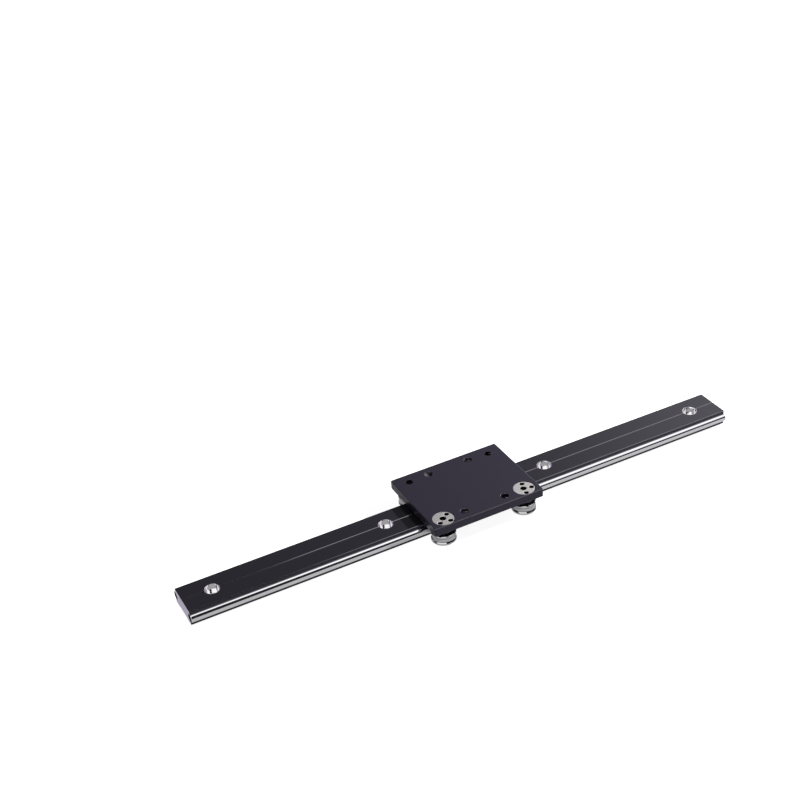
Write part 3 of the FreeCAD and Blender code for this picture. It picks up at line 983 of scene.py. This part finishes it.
@dataclass
class Carriage:
    """The plate, its tapped holes and the bores that hold the eccentric bushes.

    A thread is given as the height of its upper end, from the plate's top, and its turns. Its
    width is a part of its pitch.
    """

    length: float = 80.0
    width: float = 62.5
    thickness: float = 6.0
    corner: float = 1.0
    edge: float = 0.4
    bore_edge: float = 0.04
    tap_radius: float = 2.5
    mount_lead_in: float = 0.35
    rear_lead_in: float = 0.05
    mount_pitch: Point = (30.0, 48.0)
    neck_radius: float = 5.55
    head_radius: float = 7.35
    head_depth: float = 3.05
    thread_pitch: float = 0.8
    thread_height: float = 0.38
    thread_sunk: float = 0.02
    thread_width: float = 0.84
    mount_thread: tuple[float, int] = (-0.8, 6)
    rear_thread: tuple[float, int] = (-0.4, 1)

    @property
    def top(self) -> float:
        """Height of the plate's top, in metres."""
        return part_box("carriage_plate")[1].z

    def blank(self) -> bpy.types.Object:
        """The plate before it is drilled: rounded corners and lightly broken faces.

        Returns:
            The plate.
        """
        deselect_all()
        bpy.ops.mesh.primitive_cube_add(size=1.0, location=middle("carriage_plate"))
        plate = bpy.context.object
        plate.name = "plate_body"
        plate.scale = Vector((self.length, self.width, self.thickness)) * MM
        bpy.ops.object.transform_apply(location=True, rotation=True, scale=True)
        round_edges(plate, self.corner, 5, is_upright)
        break_edges(plate, self.edge, angle=60.0, segments=3)
        return plate

    def drill(self, radius: float, lead_in: float) -> bpy.types.Object:
        """Cutter for a plain through hole with a lead-in at the top, its top face at z 0.

        Args:
            radius: the hole's radius in millimetres.
            lead_in: depth of its lead-in in millimetres.

        Returns:
            The cutter.
        """
        over = 1.0
        return turn("drill", [
            (0.0, -self.thickness - over), (radius, -self.thickness - over),
            (radius, -lead_in), (radius + lead_in + over, over), (0.0, over)], steps=64)

    def stepped_bore(self) -> bpy.types.Object:
        """Cutter for a bush's bore, neck and head, its top face at z 0.

        Returns:
            The cutter.
        """
        over = 1.0
        return turn("stepped_bore", [
            (0.0, -self.thickness - over), (self.neck_radius, -self.thickness - over),
            (self.neck_radius, -self.head_depth), (self.head_radius, -self.head_depth),
            (self.head_radius, over), (0.0, over)], steps=96)

    def mount_places(self) -> list[Vector]:
        """Middles of the tapped mounting holes at the plate's top, in metres."""
        half_x, half_y = self.mount_pitch[0] / 2 * MM, self.mount_pitch[1] / 2 * MM
        return [Vector((x, y, self.top)) for x in (-half_x, half_x) for y in (-half_y, half_y)]

    def side_places(self, prefix: str) -> list[Vector]:
        """Middles of a left and a right piece, by the start of their names, at the plate's top."""
        found = [middle(prefix + side.value) for side in Side]
        return [Vector((place.x, place.y, self.top)) for place in found]

    def build(self, effects: Effects) -> None:
        """Model, drill and dress the plate and its threads.

        Args:
            effects: the shared shader groups.
        """
        plate = self.blank()
        mounts, rears = self.mount_places(), self.side_places("roller_screw_rear_")
        jobs = [(self.drill(self.tap_radius, self.mount_lead_in), mounts),
                (self.drill(self.tap_radius, self.rear_lead_in), rears),
                (self.stepped_bore(), self.side_places("eccentric_bush_"))]
        cutters = []
        for pattern, places in jobs:
            cutters += [copy_at(pattern, "bore", place) for place in places]
            bpy.data.objects.remove(pattern)
        cut(plate, cutters)
        break_edges(plate, self.bore_edge, angle=50.0)
        black = Anodised("plate_anodised", dye=(0.0350, 0.0310, 0.0500), roughness=0.28,
                         gloss=0.24).build(effects)
        hand_over(plate, "carriage", black, ["carriage_plate"])
        bright = Anodised("thread_cut", dye=(0.34, 0.33, 0.38), roughness=0.3,
                          wear=0.0).build(effects)
        threads = [(place, self.mount_thread) for place in mounts]
        threads += [(place, self.rear_thread) for place in rears]
        for number, (place, (crest, turns)) in enumerate(threads):
            thread = self.thread("tapped_thread_%d" % number, crest, turns)
            settle(thread, place)
            hand_over(thread, "carriage", bright)

    def thread(self, name: str, crest: float, turns: int) -> bpy.types.Object:
        """Helical ridge of a tapped hole, below its top at z 0.

        Args:
            name: name of the piece.
            crest: height of the ridge's upper end in millimetres.
            turns: turns of the ridge.

        Returns:
            The ridge.
        """
        root = self.tap_radius + self.thread_sunk
        tip = self.tap_radius - self.thread_height
        low = crest - turns * self.thread_pitch
        half = self.thread_pitch * self.thread_width / 2
        ridge = draw_outline(name, [Vector((root, 0, low - half)) * MM,
                                    Vector((tip, 0, low)) * MM,
                                    Vector((root, 0, low + half)) * MM])
        bpy.ops.object.mode_set(mode="OBJECT")
        modifier = ridge.modifiers.new("helix", "SCREW")
        modifier.axis = "Z"
        modifier.screw_offset = self.thread_pitch * MM
        modifier.iterations = turns
        modifier.steps = modifier.render_steps = 32
        activate(ridge)
        bpy.ops.object.modifier_apply(modifier=modifier.name)
        edit(ridge)
        bpy.ops.mesh.remove_doubles(threshold=MERGE_WITHIN * MM)
        bpy.ops.mesh.select_all(action="DESELECT")
        bpy.ops.mesh.select_non_manifold()
        bpy.ops.mesh.edge_face_add()
        bpy.ops.mesh.select_all(action="SELECT")
        bpy.ops.mesh.normals_make_consistent(inside=False)
        bpy.ops.object.mode_set(mode="OBJECT")
        return ridge


@dataclass
class EccentricBush:
    """Bush in the plate whose tapped hole lies off its middle, with three spanner holes.

    It is turned by an angle in degrees from having its tapped hole on the +X side.
    """

    side: Side
    turned: float
    height: float = 5.7
    head_radius: float = 7.3
    head_height: float = 2.7
    neck_radius: float = 5.5
    edge: float = 0.25
    throw: float = 0.5
    tap_radius: float = 2.1
    spanner_circle: float = 5.0
    spanner_radius: float = 1.6
    spanner_depth: float = 2.0
    spanner_point: float = 0.5
    lead_in: float = 0.15
    hole_edge: float = 0.05
    # Depth under the top below which painted shade darkens the bush and its holes.
    shade_depth: float = 0.3

    @property
    def node(self) -> str:
        """Name of the CAD node."""
        return "eccentric_bush_" + self.side.value

    def build(self, effects: Effects) -> None:
        """Turn, drill and dress the bush.

        Args:
            effects: the shared shader groups.
        """
        head, neck, edge = self.head_radius, self.neck_radius, self.edge
        bush = turn(self.node + "_turned", [
            (0.0, -self.height), (neck, -self.height), (neck, -self.head_height),
            (head, -self.head_height), (head, -edge), (head - edge, 0.0), (0.0, 0.0)])
        self.drill(bush)
        break_edges(bush, self.hole_edge, angle=30.0)
        place = middle(self.node)
        place.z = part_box(self.node)[1].z
        settle(bush, place, self.turned)
        # Its finish paints shade into the holes and round the head's rim.
        finish = TurnedSteel(self.node + "_steel", (0.88, 0.83, 0.85), axis=(place.x, place.y),
                             roughness=0.42, pitch=7000.0,
                             shade_below=place.z - self.shade_depth * MM)
        body = "bush_" + self.side.value
        hand_over(bush, body, finish.build(effects), [self.node])

    def drill(self, bush: bpy.types.Object) -> None:
        """Cut the tapped hole and the spanner holes, which leave the throw's side free.

        Args:
            bush: the turned bush, its top at z 0.
        """
        over, lead = 0.5, self.lead_in
        tap = turn("tap", [(0.0, -self.height - over), (self.tap_radius, -self.height - over),
                           (self.tap_radius, -lead), (self.tap_radius + lead + over, over),
                           (0.0, over)], steps=48)
        settle(tap, Vector((self.throw * MM, 0, 0)))
        hole = turn("spanner_hole", [
            (0.0, -self.spanner_depth - self.spanner_point),
            (self.spanner_radius, -self.spanner_depth),
            (self.spanner_radius, -lead), (self.spanner_radius + lead + over, over),
            (0.0, over)], steps=40)
        cutters = [tap]
        for angle in (90.0, 180.0, 270.0):
            way = Vector((math.cos(math.radians(angle)), math.sin(math.radians(angle)), 0.0))
            cutters.append(copy_at(hole, "hole", way * self.spanner_circle * MM))
        bpy.data.objects.remove(hole)
        cut(bush, cutters)


@dataclass
class Roller:
    """One grooved roller with its bearing, spacer and screw."""

    row: Row
    side: Side
    ring_radius: float = 8.25
    ring_width: float = 7.0
    edge: float = 0.4
    groove_floor: float = 7.4
    groove_radius: float = 3.08
    bore_radius: float = 5.5
    seat_radius: float = 6.1
    seat_depth: float = 0.5
    broken_edge: float = 0.05

    @property
    def corner(self) -> str:
        """The roller's place, as node names give it."""
        return "%s_%s" % (self.row.value, self.side.value)

    def half_section(self) -> list[Point]:
        """Half section of the outer ring, with the round groove on its outside.

        Returns:
            Radius and height of each corner in millimetres.
        """
        half = self.ring_width / 2
        floor = half - self.seat_depth
        reach = self.groove_floor + self.groove_radius - self.ring_radius
        mouth = math.degrees(math.acos(reach / self.groove_radius))
        groove = arc((self.groove_floor + self.groove_radius, 0.0), self.groove_radius,
                     180.0 - mouth, 180.0 + mouth, steps=28)
        upper = [(self.bore_radius, floor), (self.seat_radius, floor), (self.seat_radius, half),
                 (self.ring_radius - self.edge, half), (self.ring_radius, half - self.edge)]
        lower = [(r, -z) for r, z in reversed(upper)]
        return upper + groove + lower

    def build(self, effects: Effects) -> None:
        """Turn the outer ring and dress the pieces inside it.

        Args:
            effects: the shared shader groups.
        """
        place = middle("roller_ring_" + self.corner)
        ring = turn("grooved_ring_" + self.corner, self.half_section(), steps=128)
        break_edges(ring, self.broken_edge, angle=30.0)
        settle(ring, place)
        axis = (place.x, place.y)
        steel = TurnedSteel("ring_steel_" + self.corner, (0.52, 0.52, 0.54), axis=axis,
                            roughness=0.08, spread=0.05, depth=0.0008).build(effects)
        hand_over(ring, "roller_" + self.corner, steel,
                  ["roller_ring_" + self.corner])
        self.dress_inside(effects, axis, steel)

    def dress_inside(self, effects: Effects, axis: Point, steel: bpy.types.Material) -> None:
        """Dress the CAD pieces that stay: bearing, spacer and screw.

        Args:
            effects: the shared shader groups.
            axis: the roller's axis, in metres.
            steel: the outer ring's steel, which the inner ring and the balls share.
        """
        finishes = {
            "shield_sheet_": ((0.30, 0.30, 0.32), 0.3, 3000.0,
                              ("bearing_shield_top_", "bearing_shield_bottom_")),
            "screw_black_": ((0.035, 0.035, 0.04), 0.4, 4000.0, ("roller_screw_",)),
            "spacer_turned_": ((0.10, 0.10, 0.105), 0.3, 5000.0, ("roller_spacer_",)),
            "cage_brass_": ((0.62, 0.45, 0.2), 0.35, 4000.0, ("ball_cage_",)),
        }
        for name, (colour, roughness, pitch, nodes) in finishes.items():
            material = TurnedSteel(name + self.corner, colour, axis=axis, roughness=roughness,
                                   pitch=pitch).build(effects)
            for node in nodes:
                dress_node(node + self.corner, material)
        for node in ("inner_ring_", "bearing_balls_"):
            dress_node(node + self.corner, steel)


# Studio


@dataclass(frozen=True)
class Lamp:
    """A square lamp that looks at the carriage and isn't seen in its gloss."""

    name: str
    place: Place
    size: float
    power: float

    def build(self) -> None:
        """Hang the lamp in its place."""
        data = bpy.data.lights.new(self.name, "AREA")
        data.shape = "SQUARE"
        data.size = self.size
        data.energy = self.power
        lamp = bpy.data.objects.new(self.name, data)
        lamp.location = self.place
        lamp.rotation_euler = (-Vector(self.place)).to_track_quat("-Z", "Y").to_euler()
        lamp.visible_glossy = False
        bpy.context.scene.collection.objects.link(lamp)


@dataclass(frozen=True)
class Tent:
    """Cloth round the guide that only its gloss sees.

    A cloth has the brightness of its two ends, and a reach or fade is where one turns into the
    other: sideways, across or up, as parts of a direction of length 1. The front cloth's edge is
    the height where its dark lower part ends, at the left, in the middle and at the right.
    """

    front_cloth: Point = (0.02, 1.3)
    front_edge: tuple[float, float, float] = (0.15, 0.84, 0.47)
    edge_reach_left: Point = (-0.2, 0.0)
    edge_reach_right: Point = (0.33, 0.55)
    edge_fade: float = 0.1
    left_cloth: Point = (0.06, 0.31)
    left_reach: Point = (-0.2, 0.8)
    right_cloth: Point = (0.0, 2.5)
    right_reach: Point = (0.45, 0.9)
    wall_foot: Point = (0.0, 0.15)
    wall_top: Point = (0.72, 0.82)
    back_reach: Point = (-0.1, 0.1)
    floor_fade: Point = (-0.2, -0.1)

    def brightness(self, graph: Graph, floor: float) -> bpy.types.NodeSocket:
        """Brightness of the tent: in front dark below white, behind brighter to the right.

        Args:
            graph: the world's graph.
            floor: brightness of the floor, below the tent.

        Returns:
            The brightness in each direction.
        """
        apart = graph.node("ShaderNodeSeparateXYZ")
        graph.feed(apart.inputs[0], graph.node("ShaderNodeTexCoord").outputs["Generated"])
        x, y, z = apart.outputs
        sideways = graph.math("DIVIDE", x, graph.math("SQRT", graph.squares(x, y)))
        left, middle_edge, right = self.front_edge
        edge = graph.ramp(sideways, *self.edge_reach_left, left, middle_edge)
        edge = graph.ramp(sideways, *self.edge_reach_right, edge, right)
        front = graph.ramp(z, edge, graph.math("ADD", edge, self.edge_fade), *self.front_cloth)
        cloth = graph.math("ADD", graph.ramp(sideways, *self.left_reach, *self.left_cloth),
                           graph.ramp(sideways, *self.right_reach, *self.right_cloth))
        wall = graph.math("MULTIPLY", graph.ramp(z, *self.wall_foot),
                          graph.ramp(z, *self.wall_top, 1.0, 0.0))
        back = graph.math("MULTIPLY", cloth, wall)
        below = graph.ramp(z, *self.floor_fade, floor, 0.0)
        return graph.math("MAXIMUM", graph.ramp(y, *self.back_reach, front, back), below)


@dataclass
class Studio:
    """White surroundings, a pale floor, soft lamps and the camera at the photograph's angle."""

    camera_place: Place = (-0.36136, -0.68678, 0.58213)
    camera_turn: tuple[float, float, float] = (57.3854, 4.0162, -27.4704)
    lens: float = 65.7085
    sensor_width: float = 36.0
    clip_start: float = 0.01
    lamps: tuple[Lamp, ...] = (
        Lamp("key_lamp", place=(1.12, -0.20, 0.88), size=0.08, power=22.0),
        Lamp("fill_lamp", place=(-0.4, -1.4, 1.2), size=1.2, power=2.0))
    tent: Tent = Tent()
    ambient: float = 0.12
    floor_size: float = 8.0
    floor_height: float = -0.05 * MM
    floor_glow: float = 0.88
    floor_mirrored: float = 0.42
    floor_colour: Colour = (0.8, 0.8, 0.8)
    floor_under_gloss: Colour = (0.25, 0.25, 0.25)

    def build(self) -> None:
        """Set up the whole studio."""
        self.build_world()
        self.build_floor()
        for lamp in self.lamps:
            lamp.build()
        self.build_camera()
        bpy.context.scene.view_settings.view_transform = "Standard"

    def build_world(self) -> None:
        """White for the camera, even light for the object, and a lit tent seen in its gloss."""
        world = bpy.data.worlds.new("studio_world")
        bpy.context.scene.world = world
        world.use_nodes = True
        world.node_tree.nodes.clear()
        graph = Graph(world.node_tree)
        rays = graph.node("ShaderNodeLightPath")
        mirrored = graph.node("ShaderNodeMix", data_type="FLOAT")
        graph.feed(mirrored.inputs["Factor"], rays.outputs["Is Glossy Ray"])
        graph.feed(mirrored.inputs["A"], self.ambient)
        graph.feed(mirrored.inputs["B"], self.tent.brightness(graph, self.floor_mirrored))
        seen = graph.math("MAXIMUM", mirrored.outputs[0], rays.outputs["Is Camera Ray"])
        background = graph.node("ShaderNodeBackground")
        background.inputs["Color"].default_value = (1.0, 1.0, 1.0, 1.0)
        graph.feed(background.inputs["Strength"], seen)
        output = graph.node("ShaderNodeOutputWorld")
        graph.feed(output.inputs["Surface"], background.outputs[0])

    def floor_material(self) -> bpy.types.Material:
        """Matt white that glows for the camera and for gloss, and is clear from below.

        Returns:
            The material.
        """
        material = bpy.data.materials.new("studio_floor_white")
        material.use_nodes = True
        material.node_tree.nodes.clear()
        graph = Graph(material.node_tree)
        rays = graph.node("ShaderNodeLightPath").outputs
        matt = graph.node("ShaderNodeBsdfDiffuse")
        graph.feed(matt.inputs["Color"], graph.blend(rays["Is Glossy Ray"], self.floor_colour,
                                                     self.floor_under_gloss))
        seen = graph.math("MULTIPLY", rays["Is Camera Ray"], self.floor_glow)
        mirrored = graph.math("MULTIPLY", rays["Is Glossy Ray"], self.floor_mirrored)
        glow = graph.node("ShaderNodeEmission")
        graph.feed(glow.inputs["Strength"], graph.math("ADD", seen, mirrored))
        both = graph.node("ShaderNodeAddShader")
        graph.feed(both.inputs[0], matt.outputs[0])
        graph.feed(both.inputs[1], glow.outputs[0])
        one_sided = graph.node("ShaderNodeMixShader")
        graph.feed(one_sided.inputs["Fac"],
                   graph.node("ShaderNodeNewGeometry").outputs["Backfacing"])
        graph.feed(one_sided.inputs[1], both.outputs[0])
        graph.feed(one_sided.inputs[2], graph.node("ShaderNodeBsdfTransparent").outputs[0])
        output = graph.node("ShaderNodeOutputMaterial")
        graph.feed(output.inputs["Surface"], one_sided.outputs[0])
        return material

    def build_floor(self) -> None:
        """Floor that looks white from above, apart from the shadow, and is clear from below."""
        deselect_all()
        bpy.ops.mesh.primitive_plane_add(size=self.floor_size, location=(0, 0, self.floor_height))
        floor = bpy.context.object
        floor.name = "studio_floor"
        floor.data.materials.append(self.floor_material())

    def build_camera(self) -> None:
        """Camera that sees the guide as the photograph does."""
        data = bpy.data.cameras.new("photo_camera")
        data.sensor_width = self.sensor_width
        data.sensor_fit = "HORIZONTAL"
        data.lens = self.lens
        data.clip_start = self.clip_start
        camera = bpy.data.objects.new("photo_camera", data)
        camera.location = self.camera_place
        camera.rotation_euler = [math.radians(angle) for angle in self.camera_turn]
        bpy.context.scene.collection.objects.link(camera)
        bpy.context.scene.camera = camera


def main() -> None:
    """Build the studio and the guide's looks, the bushes turned as in the photograph."""
    logging.basicConfig(level=logging.INFO, format="%(message)s")
    Studio().build()
    effects = Effects()
    Rail().build(effects)
    Carriage().build(effects)
    EccentricBush(Side.LEFT, turned=128.0).build(effects)
    EccentricBush(Side.RIGHT, turned=165.0).build(effects)
    for row in Row:
        for side in Side:
            Roller(row, side).build(effects)


if __name__ == "__main__":
    main()
